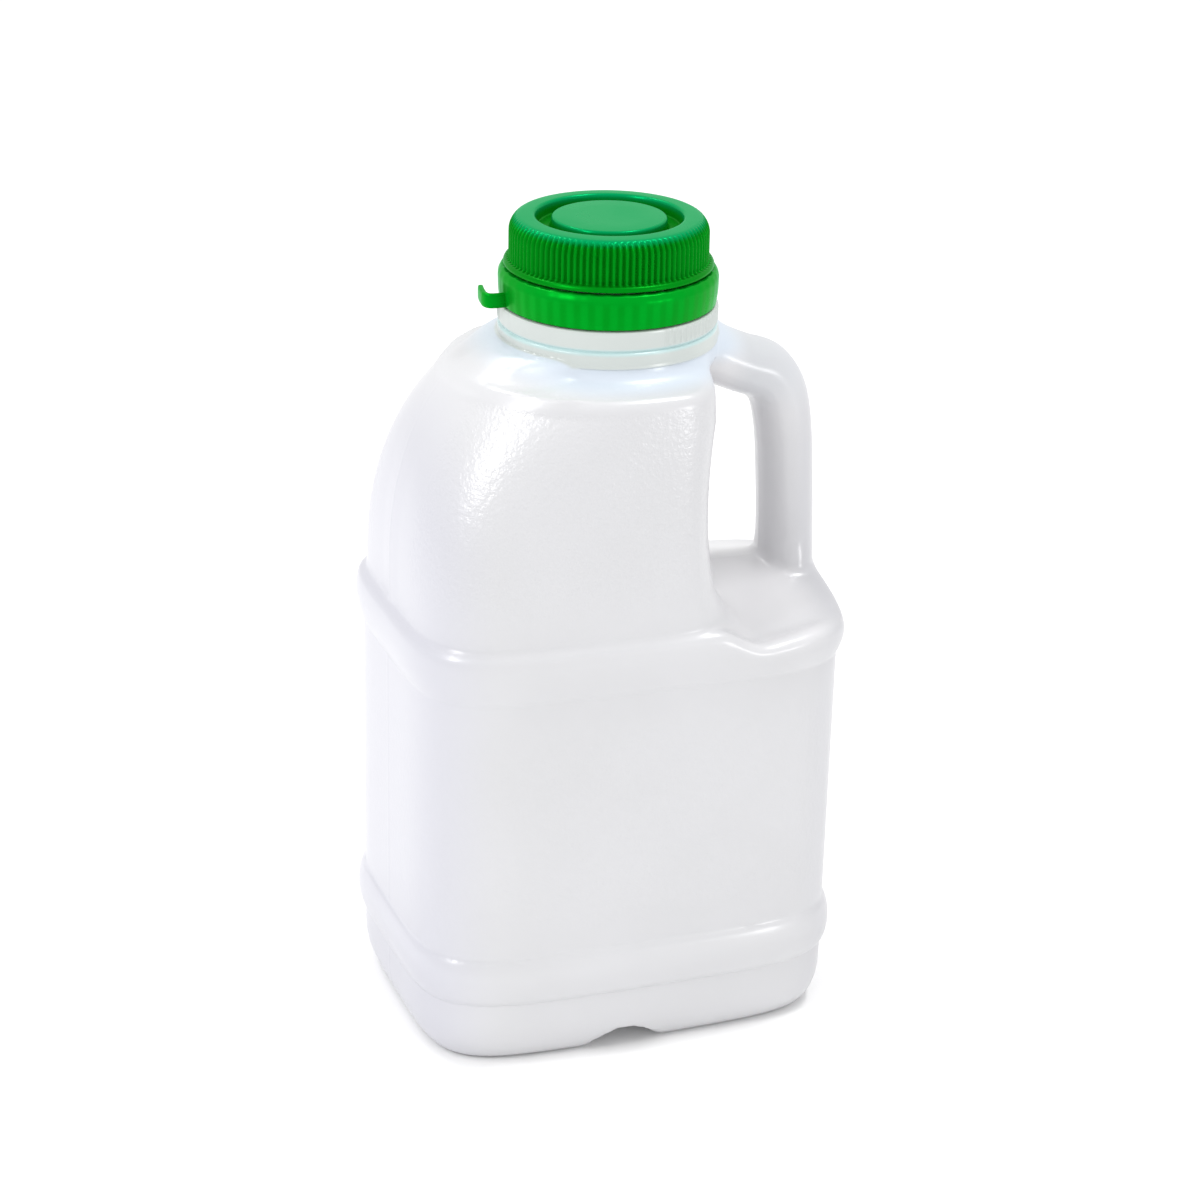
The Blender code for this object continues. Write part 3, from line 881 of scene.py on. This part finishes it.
@dataclass
class Cap:
    """The screw cap: ridged skirt, smooth flange, flat rim, ring groove and raised disc.

    The sharp angle is in degrees.
    """

    bottom: float = 158.25
    top: float = 168.1
    flange_radius: float = 20.9
    ridge_radius: float = 20.5
    valley_radius: float = 19.85
    ridges: int = 96
    columns_per_ridge: int = 8
    rim_outer: float = 18.4
    rim_inner: float = 14.8
    groove_depth: float = 2.7
    disc_radius: float = 11.35
    disc_drop: float = 0.3
    pole_radius: float = 0.4
    skirt_inner: float = 18.9
    ceiling: float = 163.8
    ridge_power: float = 1.4
    skirt_rows: int = 4
    corner_samples: int = 6
    sharp_angle: float = 50.0

    def profile(self) -> np.ndarray:
        """The section from the disc's middle out, down the skirt and back in under the top.

        Returns:
            The points as rows of radius and height.
        """
        low, high, valley, flange = self.bottom, self.top, self.valley_radius, self.flange_radius
        disc_top, floor = high - self.disc_drop, high - self.groove_depth
        path = rounded_path([
            (self.pole_radius, disc_top + 0.02, 0.0),
            (self.disc_radius * 0.6, disc_top + 0.02, 0.2),
            (self.disc_radius, disc_top, 0.55), (self.disc_radius + 0.35, floor, 0.4),
            (self.rim_inner - 0.45, floor, 0.4), (self.rim_inner - 0.1, high, 0.7),
            (self.rim_outer, high - 0.15, 0.9), (valley, high - 2.0, 1.3),
            (valley, low + 1.35, 0.2), (flange - 0.25, low + 0.95, 0.25),
            (flange, low + 0.45, 0.2), (flange - 0.1, low, 0.15),
            (self.skirt_inner, low, 0.15), (self.skirt_inner - 0.4, self.ceiling, 0.4),
            (self.pole_radius, self.ceiling, 0.0),
        ], self.corner_samples)
        steps = np.linspace(low + 1.8, high - 3.6, self.skirt_rows)[::-1]
        rows = np.column_stack((np.full(self.skirt_rows, valley), steps))
        place = int(np.argmax((path[:, 1] < low + 1.6) & (path[:, 0] > self.rim_outer)))
        return np.vstack((path[:place], rows, path[place:]))

    def build(self) -> bpy.types.Object:
        """Turn the profile about the neck's axis and raise the ridges.

        Formula: each ridge moves the skin along the profile's normal by
        h*w(z)*(0.5 + 0.5*cos(n*a))^p, where w runs in from the rim and out above the flange.

        Returns:
            The finished cap, riding on the root body in the place of the CAD cap.
        """
        path = self.profile()
        normal = -path_normals(path)
        angle = full_turn(self.ridges * self.columns_per_ridge)
        ridge = (0.5 + 0.5 * np.cos(self.ridges * angle)) ** self.ridge_power
        outer = path[:, :1] > self.rim_outer - 0.2
        window = smooth_step(path[:, 1:2], self.bottom + 1.1, self.bottom + 1.5)
        window = window * (1.0 - smooth_step(path[:, 1:2], self.top - 1.1, self.top - 0.25)) * outer
        rise = (self.ridge_radius - self.valley_radius) * window * ridge[None, :]
        radius = path[:, :1] + normal[:, :1] * rise
        height = path[:, 1:2] + normal[:, 1:2] * rise
        points = about_neck(radius, height, angle)
        cap = outward(mesh_object("screw_cap", *turned_grid(points, True, True)))
        cap.data.set_sharp_from_angle(angle=math.radians(self.sharp_angle))
        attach(cap, "root")
        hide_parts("cap")
        return cap


@dataclass
class TearBand:
    """The tear band under the cap, its bridge stubs and its curled pull tab.

    The root and tip of the tab are angles about the neck's axis. They and the sharp angle are in
    degrees.
    """

    bottom: float = 150.9
    top: float = 157.95
    radius: float = 21.95
    wall: float = 1.1
    lip_reach: float = 2.2
    seat: float = 1.6
    corner_samples: int = 5
    ribs: int = 48
    rib_depth: float = 0.04
    bridges: int = 36
    stub_height: float = 0.12
    columns: int = 576
    sharp_angle: float = 50.0
    tab_radius: float = 25.3
    tab_thickness: float = 1.2
    tab_height: float = 3.0
    tab_root: float = 181.0
    tab_tip: float = 164.0
    tab_bend: float = 1.6
    tab_dip: float = 0.45
    tab_lift: float = 0.1
    tab_stops: int = 6
    tab_steps: int = 6
    tab_columns: int = 24
    tab_power: float = 4.0
    tip_length: float = 1.3
    tip_most: float = 0.995
    tip_thickness: float = 0.35

    def ring(self) -> bpy.types.Object:
        """The band: a rounded section turned about the neck's axis.

        Formula: the section's points (r, z) turned round, with z at the inner top edge raised by
        h*(0.5 + 0.5*cos(m*a))^3 for the bridge stubs, and r drawn in between the ribs by
        d*(0.5 - 0.5*cos(n*a)).

        Returns:
            The band's object.
        """
        low, high, edge = self.bottom, self.top, self.radius
        wall, lip, seat = edge - self.wall, edge - self.lip_reach, edge - self.seat
        path = rounded_path([
            (seat, high - 2.0, 0.0), (wall, low + 0.6, 0.2), (wall, low, 0.15),
            (edge - 0.4, low, 0.3), (edge - 0.1, low + 2.5, 0.8), (edge, high - 1.3, 0.8),
            (edge - 0.75, high - 0.12, 0.5), (lip, high, 0.12), (lip, high - 0.7, 0.1),
            (seat, high - 2.0, 0.0),
        ], self.corner_samples)[:-1]
        angle = full_turn(self.columns)
        inner = smooth_step(path[:, 1:2], high - 0.3, high - 0.05) * (path[:, :1] < edge - 1.0)
        stub = (0.5 + 0.5 * np.cos(self.bridges * angle))[None, :] ** 3
        outer = (path[:, :1] > edge - 0.6).astype(float)
        between = (0.5 - 0.5 * np.cos(self.ribs * angle))[None, :]
        radius = path[:, :1] - self.rib_depth * outer * between
        height = path[:, 1:2] - self.stub_height * inner * (1.0 - stub)
        points = about_neck(radius, height, angle)
        return outward(mesh_object("tear_band_ring", *turned_grid(points, False, False)))

    def tab(self) -> bpy.types.Object:
        """The pull tab: a strip on edge that leaves the band straight out and then curls along it.

        Formula: a superellipse section, half the thickness by half the height, carried along the
        path and drawn in at the tip by sqrt(1 - u^2).

        Returns:
            The tab's object.
        """
        turn = math.degrees(self.tab_bend / self.tab_radius)
        arc = np.linspace(self.tab_root - turn, self.tab_tip, self.tab_stops)
        polar = np.array([
            (self.radius - 0.6, self.tab_root), (self.tab_radius - self.tab_bend, self.tab_root),
            (self.tab_radius - self.tab_dip, self.tab_root - 0.3 * turn),
            *((self.tab_radius, degrees) for degrees in arc),
        ])
        place = np.radians(polar[:, 1])
        corners = polar[:, :1] * np.column_stack((np.cos(place), np.sin(place)))
        line = smooth_line(corners, self.tab_steps)
        along = np.gradient(line, axis=0)
        along /= np.linalg.norm(along, axis=1)[:, None]
        side = np.column_stack((-along[:, 1], along[:, 0]))
        length = np.concatenate(([0.0], np.cumsum(np.linalg.norm(np.diff(line, axis=0), axis=1))))
        tip = (length - length[-1] + self.tip_length) / self.tip_length
        draw = np.sqrt(1.0 - np.clip(tip, 0.0, self.tip_most) ** 2)[:, None]
        thin = self.tip_thickness + (1.0 - self.tip_thickness) * draw
        angle = full_turn(self.tab_columns)
        cosine, sine, power = np.cos(angle), np.sin(angle), 2.0 / self.tab_power
        across = np.sign(cosine) * np.abs(cosine) ** power * 0.5 * self.tab_thickness
        tall = np.sign(sine) * np.abs(sine) ** power * 0.5 * self.tab_height
        middle = self.bottom + self.tab_lift + 0.5 * self.tab_height
        x = NECK_X + line[:, :1] + side[:, :1] * across[None, :] * thin
        y = line[:, 1:2] + side[:, 1:2] * across[None, :] * thin
        z = middle + tall[None, :] * draw
        return outward(mesh_object("tab", *turned_grid(np.stack((x, y, z), axis=-1), True, True)))

    def build(self) -> bpy.types.Object:
        """Make the band and its tab one object.

        Returns:
            The finished band, riding on the root body in the place of the CAD band.
        """
        band = self.ring()
        boolean(band, self.tab(), "UNION")
        band.data.shade_smooth()
        band.data.set_sharp_from_angle(angle=math.radians(self.sharp_angle))
        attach(band, "root")
        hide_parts("tear_band")
        return band


# ---------------------------------------------------------------- finishes


class Board:
    """A material's node tree, with short ways to add and join nodes."""

    def __init__(self, name: str) -> None:
        """Start a material that holds only its shader and output.

        Args:
            name: The material's name.
        """
        self.material = bpy.data.materials.new(name)
        self.material.use_nodes = True
        self.nodes = self.material.node_tree.nodes
        self.links = self.material.node_tree.links
        self.shader = self.nodes["Principled BSDF"]
        self.place = self.add("ShaderNodeTexCoord").outputs["Object"]

    def add(self, kind: str, **settings: object) -> bpy.types.Node:
        """Add a node.

        Args:
            kind: The node's type.
            settings: Its properties by name.

        Returns:
            The node.
        """
        node = self.nodes.new(kind)
        for name, value in settings.items():
            setattr(node, name, value)
        return node

    def feed(self, target: bpy.types.NodeSocket, source: object) -> None:
        """Give a socket its value.

        Args:
            target: The socket to fill.
            source: A number or colour, or another node's socket to link to it.
        """
        if isinstance(source, bpy.types.NodeSocket):
            self.links.new(source, target)
        else:
            target.default_value = source

    def math(self, operation: str, *values: object, clamp: bool = False) -> bpy.types.NodeSocket:
        """A Math node.

        Args:
            operation: What it works out.
            values: Its numbers or sockets, in order.
            clamp: Whether the outcome is held between 0 and 1.

        Returns:
            Its output.
        """
        node = self.add("ShaderNodeMath", operation=operation, use_clamp=clamp)
        for socket, value in zip(node.inputs, values):
            self.feed(socket, value)
        return node.outputs[0]

    def product(self, *values: object) -> bpy.types.NodeSocket:
        """Numbers or sockets multiplied together from the first on; a lone one stays as it is."""
        return reduce(lambda first, second: self.math("MULTIPLY", first, second), values)

    def axes(self) -> list[bpy.types.NodeSocket]:
        """Split the object's own coordinates.

        Returns:
            The sockets of X, Y and Z, in metres.
        """
        split = self.add("ShaderNodeSeparateXYZ")
        self.feed(split.inputs[0], self.place)
        return list(split.outputs)

    def ramp(
        self, value: object, start: float, end: float, low: float = 0.0, high: float = 1.0
    ) -> bpy.types.NodeSocket:
        """Map a value from one span to another with smooth ends.

        Args:
            value: The number or socket to map.
            start: Where the mapping starts.
            end: Where it ends.
            low: The outcome at the start.
            high: The outcome at the end.

        Returns:
            The mapped value.
        """
        node = self.add("ShaderNodeMapRange", interpolation_type="SMOOTHSTEP")
        parts = {"Value": value, "From Min": start, "From Max": end, "To Min": low, "To Max": high}
        for name, part in parts.items():
            self.feed(node.inputs[name], part)
        return node.outputs[0]

    def fall(self, value: object, start: float, end: float) -> bpy.types.NodeSocket:
        """Fall smoothly from 1 to 0 between two values."""
        return self.math("SUBTRACT", 1.0, self.ramp(value, start, end))

    def noise(self, scale: float, detail: float, roughness: float = 0.5) -> bpy.types.NodeSocket:
        """Noise on the object's own coordinates.

        Args:
            scale: Features a metre.
            detail: How many finer layers are added.
            roughness: The share of each finer layer.

        Returns:
            The noise, about 0.5 in the middle.
        """
        node = self.add("ShaderNodeTexNoise")
        self.feed(node.inputs["Vector"], self.place)
        for name, part in (("Scale", scale), ("Detail", detail), ("Roughness", roughness)):
            self.feed(node.inputs[name], part)
        return node.outputs[0]

    def mix(self, share: object, first: object, second: object) -> bpy.types.NodeSocket:
        """Blend two colours.

        Args:
            share: The second colour's share.
            first: The first colour.
            second: The second colour.

        Returns:
            The blended colour.
        """
        node = self.add("ShaderNodeMix", data_type="RGBA")
        self.feed(node.inputs["Factor"], share)
        self.feed(node.inputs["A"], first)
        self.feed(node.inputs["B"], second)
        return node.outputs["Result"]

    def bump(self, height: object, distance: float) -> None:
        """Dent the surface.

        Args:
            height: The height, from 0 to 1.
            distance: The height of 1, in metres.
        """
        node = self.add("ShaderNodeBump")
        self.feed(node.inputs["Height"], height)
        node.inputs["Distance"].default_value = distance
        node.inputs["Strength"].default_value = 1.0
        self.links.new(node.outputs[0], self.shader.inputs["Normal"])


@dataclass(frozen=True)
class MilkyPlastic:
    """Unpigmented blow-moulded polyethylene: milky, faintly blue, grained on its panels.

    A pair is a span in metres over which a tone, a painted light or shade, or the grain comes in,
    or goes out where the name says end or reach. A reach is a distance from the neck's axis. The
    levels are of noise. Besides the clouds, the tones are painted light and shade: painted shade on
    the left and right sides and on the handle's top, painted light on the grip and the cove, painted
    green shade on the neck and a painted cyan highlight along the step above the collar.
    """

    tone: Colour = (0.575, 0.575, 0.592, 1.0)
    cloud: Colour = (0.56, 0.56, 0.575, 1.0)
    cloud_scale: float = 28.0
    cloud_levels: Pair = (0.35, 0.65)
    # Painted shade: the jug's left side darker and bluer.
    left_painted_shade: Colour = (0.535, 0.535, 0.585, 1.0)
    left_shade_end: Pair = (-0.045, -0.031)
    # Painted shade: the right side and the handle's outer edges darker.
    right_painted_shade: Colour = (0.48, 0.48, 0.505, 1.0)
    right_shade_start: Pair = (0.031, 0.045)
    # Painted light: the saddle and the handle's inner side lighter, standing in for light through
    # the plastic. Its span in height is grip_foot.
    grip_painted_light: Colour = (0.67, 0.665, 0.68, 1.0)
    grip_light_start: Pair = (0.016, 0.024)
    grip_light_end: Pair = (0.033, 0.044)
    grip_foot: Pair = (0.084, 0.09)
    # Painted shade: the handle's top darker.
    crown_painted_shade: Colour = (0.55, 0.56, 0.585, 1.0)
    crown_shade_start: Pair = (0.023, 0.030)
    crown_shade_foot: Pair = (0.124, 0.134)
    # Painted light: the cove round the neck paler and cyan-blue, standing in for light tinted by the
    # green cap.
    cove_painted_light: Colour = (0.58, 0.64, 0.715, 1.0)
    cove_light_foot: Pair = (0.1365, 0.1410)
    cove_light_reach: Pair = (0.0235, 0.030)
    # Painted shade: the neck under the band darker and greener, as shade tinted by the green cap.
    neck_painted_shade: Colour = (0.51, 0.55, 0.53, 1.0)
    neck_shade_foot: Pair = (0.1427, 0.1435)
    neck_shade_reach: Pair = (0.0221, 0.0228)
    # Painted highlight: a cyan line round the step above the collar.
    line_painted_highlight: Colour = (0.46, 0.62, 0.62, 1.0)
    line_highlight_foot: Pair = (0.1455, 0.1463)
    line_highlight_end: Pair = (0.1466, 0.1474)
    panel_foot: Pair = (0.093, 0.104)
    panel_end: Pair = (0.1365, 0.1372)
    panel_start: Pair = (0.0105, 0.0145)
    lower_foot: Pair = (0.026, 0.034)
    lower_end: Pair = (0.066, 0.077)
    lower_grain: float = 0.35
    least_grain: float = 0.06
    grain_scale: float = 950.0
    grain_depth: float = 0.00015
    swell_scale: float = 70.0
    swell: float = 0.5
    roughness: float = 0.28
    specular: float = 0.9
    refraction: float = 1.5

    def tint(self, board: Board) -> bpy.types.NodeSocket:
        """Lay painted light and shade, place by place, over the clouded plastic.

        Args:
            board: The material's board.

        Returns:
            The colour.
        """
        x, y, z = board.axes()
        off = board.math("SUBTRACT", x, NECK_X * METRES)
        squares = board.math("ADD", board.product(off, off), board.product(y, y))
        radius = board.math("SQRT", squares)
        # Where the painted neck shade and the painted line highlight lie: close to the neck's axis.
        around = board.fall(radius, *self.neck_shade_reach)
        # Where the painted grip light lies: above the saddle's foot, between the grip side and the
        # handle.
        grip = board.product(board.ramp(x, *self.grip_light_start), board.ramp(z, *self.grip_foot))
        # The height band of the painted cyan highlight.
        line = board.product(board.ramp(z, *self.line_highlight_foot), board.fall(z, *self.line_highlight_end))
        # Each row: a painted shade or painted light, then the masks that place it.
        tones = (
            (self.left_painted_shade, board.fall(x, *self.left_shade_end)),
            (self.right_painted_shade, board.ramp(x, *self.right_shade_start)),
            (self.grip_painted_light, grip, board.fall(x, *self.grip_light_end)),
            (self.crown_painted_shade, board.ramp(x, *self.crown_shade_start), board.ramp(z, *self.crown_shade_foot)),
            (self.cove_painted_light, board.ramp(z, *self.cove_light_foot), board.fall(radius, *self.cove_light_reach)),
            (self.neck_painted_shade, board.ramp(z, *self.neck_shade_foot), around),
            (self.line_painted_highlight, line, around),
        )
        clouds = board.ramp(board.noise(self.cloud_scale, 3.0), *self.cloud_levels)
        body = board.mix(clouds, self.tone, self.cloud)
        for tone, *shares in tones:
            body = board.mix(board.product(*shares), body, tone)
        return body

    def grain(self, board: Board) -> bpy.types.NodeSocket:
        """The height of the surface: grain on the panels over a slow swell.

        Args:
            board: The material's board.

        Returns:
            The height.
        """
        _, y, z = board.axes()
        panel = board.product(
            board.ramp(z, *self.panel_foot), board.fall(z, *self.panel_end),
            board.ramp(board.math("ABSOLUTE", y), *self.panel_start),
        )
        lower = board.product(board.ramp(z, *self.lower_foot), board.fall(z, *self.lower_end))
        where = board.math("MAXIMUM", panel, board.product(lower, self.lower_grain))
        grain = board.math("SUBTRACT", board.noise(self.grain_scale, 2.0, 0.6), 0.5)
        fine = board.product(grain, board.math("ADD", where, self.least_grain))
        slow = board.product(board.noise(self.swell_scale, 1.0), self.swell)
        return board.math("ADD", fine, slow)

    def material(self) -> bpy.types.Material:
        """Build the material.

        Returns:
            The material.
        """
        board = Board("milky_plastic_finish")
        board.feed(board.shader.inputs["Base Color"], self.tint(board))
        board.bump(self.grain(board), self.grain_depth)
        board.shader.inputs["Roughness"].default_value = self.roughness
        board.shader.inputs["Specular IOR Level"].default_value = self.specular
        board.shader.inputs["IOR"].default_value = self.refraction
        return board.material


@dataclass(frozen=True)
class GreenPlastic:
    """Green polyethylene with a soft gloss, and painted light that makes its top faces paler and
    bluer.

    The span rib_end and the span over which the painted top light comes in are in metres, and the
    levels are of noise or of a wave.
    """

    name: str = "green_plastic_finish"
    tone: Colour = (0.0, 0.22, 0.006, 1.0)
    shade: Colour = (0.0, 0.17, 0.003, 1.0)
    shade_scale: float = 120.0
    levels: Pair = (0.3, 0.7)
    shade_share: float = 0.35
    # Painted light: the cap's top faces paler and bluer, standing in for light from above and the
    # sky's reflection.
    top_painted_light: Colour = (0.0, 0.28, 0.085, 1.0)
    top_light_foot: Pair = (0.1664, 0.1679)
    ribs: float = 0.0
    rib_levels: Pair = (-0.8, 0.9)
    rib_share: float = 0.6
    rib_end: Pair = (0.1555, 0.1568)
    dent_scale: float = 420.0
    dent_depth: float = 0.00002
    gloss_scale: float = 60.0
    roughness: float = 0.3
    roughness_swing: float = 0.04
    metallic: float = 0.35
    specular_tint: Colour = (0.1, 1.0, 0.5, 1.0)
    specular: float = 0.08
    refraction: float = 1.5

    def material(self) -> bpy.types.Material:
        """Build the material, with stripes round the neck's axis where it has ribs.

        Returns:
            The material.
        """
        board = Board(self.name)
        x, y, z = board.axes()
        share = board.ramp(board.noise(self.shade_scale, 3.0), *self.levels, 0.0, self.shade_share)
        if self.ribs:
            angle = board.math("ARCTAN2", y, board.math("SUBTRACT", x, NECK_X * METRES))
            wave = board.math("SINE", board.product(angle, self.ribs))
            stripe = board.ramp(wave, *self.rib_levels, 0.0, self.rib_share)
            striped = board.product(stripe, board.fall(z, *self.rib_end))
            share = board.math("ADD", share, striped, clamp=True)
        body = board.mix(share, self.tone, self.shade)
        # Painted light on the top faces, above a set height.
        body = board.mix(board.ramp(z, *self.top_light_foot), body, self.top_painted_light)
        board.feed(board.shader.inputs["Base Color"], body)
        board.bump(board.noise(self.dent_scale, 3.0), self.dent_depth)
        low, high = self.roughness - self.roughness_swing, self.roughness + self.roughness_swing
        gloss = board.ramp(board.noise(self.gloss_scale, 2.0), *self.levels, low, high)
        board.feed(board.shader.inputs["Roughness"], gloss)
        board.shader.inputs["Metallic"].default_value = self.metallic
        board.shader.inputs["Specular Tint"].default_value = self.specular_tint
        board.shader.inputs["Specular IOR Level"].default_value = self.specular
        board.shader.inputs["IOR"].default_value = self.refraction
        return board.material


# ---------------------------------------------------------------- studio


def placing(right: np.ndarray, up: np.ndarray, back: np.ndarray, spot: np.ndarray) -> Matrix:
    """The matrix that places a thing, from its three unit axes and its spot in metres."""
    return Matrix([*np.column_stack((right, up, back, spot)).tolist(), (0.0, 0.0, 0.0, 1.0)])


@dataclass(frozen=True)
class SoftBox:
    """A rectangular soft light that faces the jug's middle, in metres and watts."""

    name: str
    place: Triple
    size: Pair
    watts: float
    aim: Triple = (0.0, 0.0, 0.09)

    def build(self) -> None:
        """Make the light and turn it to face its aim."""
        data = bpy.data.lights.new(self.name, "AREA")
        data.shape = "RECTANGLE"
        data.size, data.size_y = self.size
        data.energy = self.watts
        lamp = bpy.data.objects.new(self.name, data)
        spot = np.array(self.place)
        back = spot - np.array(self.aim)
        back /= np.linalg.norm(back)
        side = np.cross((0.0, 0.0, 1.0), back)
        side /= np.linalg.norm(side)
        lamp.matrix_world = placing(side, np.cross(back, side), back, spot)
        bpy.context.scene.collection.objects.link(lamp)


@dataclass
class Studio:
    """The floor, the soft lights and the camera.

    The camera's side, tilt and roll are in degrees, and the floor's radius is in metres.
    """

    floor_radius: float = 12.0
    floor_rings: int = 24
    floor_sides: int = 96
    floor_tones: tuple[Colour, Colour] = ((0.93, 0.93, 0.93, 1.0), (0.95, 0.95, 0.95, 1.0))
    floor_scale: float = 9.0
    floor_levels: Pair = (0.3, 0.7)
    floor_roughness: float = 0.9
    floor_specular: float = 0.1
    sky: Colour = (1.0, 1.0, 1.0, 1.0)
    sky_strength: float = 0.95
    lights: tuple[SoftBox, ...] = (
        SoftBox("left_box", (-0.82, -0.32, 0.72), (0.20, 0.42), 2.9),
        SoftBox("right_box", (0.58, -0.86, 0.22), (0.12, 0.10), 1.0),
        SoftBox("top_box", (0.33, -0.06, 1.03), (0.32, 0.10), 3.2),
        SoftBox("back_box", (-0.32, 0.48, 0.95), (0.30, 0.10), 1.6),
        SoftBox("corner_box", (-0.60, -0.05, 0.89), (0.08, 0.10), 0.7),
    )
    camera_side: float = 20.01
    camera_tilt: float = 22.33
    camera_roll: float = 1.13
    camera_shift: Pair = (1.83, 78.61)
    camera_distance: float = 750.6
    camera_lift: float = 1.2
    lens: float = 105.0
    sensor: float = 36.0
    clip_start: float = 0.02

    def floor(self) -> None:
        """A wide round pale floor.

        Formula: rings at radii r = R*(i/n)^3, all at the base's height.
        """
        angle = full_turn(self.floor_sides)
        ring = np.arange(1, self.floor_rings + 1)[:, None] / self.floor_rings
        radius = self.floor_radius * ring**3
        level = 0.0 * radius * angle
        points = np.stack((radius * np.cos(angle), radius * np.sin(angle), level), axis=-1)
        floor = mesh_object("floor", *turned_grid(points / METRES, True, False))
        board = Board("floor_paper")
        share = board.ramp(board.noise(self.floor_scale, 2.0), *self.floor_levels)
        board.feed(board.shader.inputs["Base Color"], board.mix(share, *self.floor_tones))
        board.shader.inputs["Roughness"].default_value = self.floor_roughness
        board.shader.inputs["Specular IOR Level"].default_value = self.floor_specular
        floor.data.materials.append(board.material)

    def world(self) -> None:
        """An even pale surround."""
        world = bpy.data.worlds.new("surround")
        world.use_nodes = True
        shade = world.node_tree.nodes["Background"]
        shade.inputs["Color"].default_value = self.sky
        shade.inputs["Strength"].default_value = self.sky_strength
        bpy.context.scene.world = world

    def camera(self) -> None:
        """The camera, from its side, tilt and roll angles and its place in its own axes.

        Formula: with side s and tilt t, the way back is (-sin(s)*cos(t), -cos(s)*cos(t), sin(t))
        and the level way is (cos(s), -sin(s), 0). The roll turns the view about the way back.
        """
        side, tilt, roll = np.radians((self.camera_side, self.camera_tilt, self.camera_roll))
        back = np.array((-np.sin(side) * np.cos(tilt), -np.cos(side) * np.cos(tilt), np.sin(tilt)))
        level = np.array((np.cos(side), -np.sin(side), 0.0))
        upright = np.cross(back, level)
        right = level * np.cos(roll) + upright * np.sin(roll)
        up = upright * np.cos(roll) - level * np.sin(roll)
        across, rise = self.camera_shift
        spot = across * right + rise * up + self.camera_distance * back
        spot = spot + np.array((0.0, 0.0, self.camera_lift))
        data = bpy.data.cameras.new("camera")
        data.lens = self.lens
        data.sensor_width = self.sensor
        data.clip_start = self.clip_start
        made = bpy.data.objects.new("camera", data)
        made.matrix_world = placing(right, up, back, spot * METRES)
        bpy.context.scene.collection.objects.link(made)
        bpy.context.scene.camera = made

    def build(self) -> None:
        """Set up everything around the jug."""
        bpy.context.scene.view_settings.view_transform = "Standard"
        self.floor()
        self.world()
        for light in self.lights:
            light.build()
        self.camera()


def main() -> None:
    logging.basicConfig(level=logging.INFO)
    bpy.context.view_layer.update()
    milky = MilkyPlastic().material()
    green = GreenPlastic().material()
    banded = GreenPlastic(
        name="green_band_finish",
        tone=(0.0, 0.30, 0.014, 1.0),
        shade=(0.0, 0.24, 0.008, 1.0),
        ribs=48.0,
    ).material()
    for part, finish in ((Jug(), milky), (Cap(), green), (TearBand(), banded)):
        piece = part.build()
        piece.data.materials.clear()
        piece.data.materials.append(finish)
        mesh = piece.data
        log.info("%s: %d vertices, %d faces", piece.name, len(mesh.vertices), len(mesh.polygons))
    Studio().build()


if __name__ == "__main__":
    main()
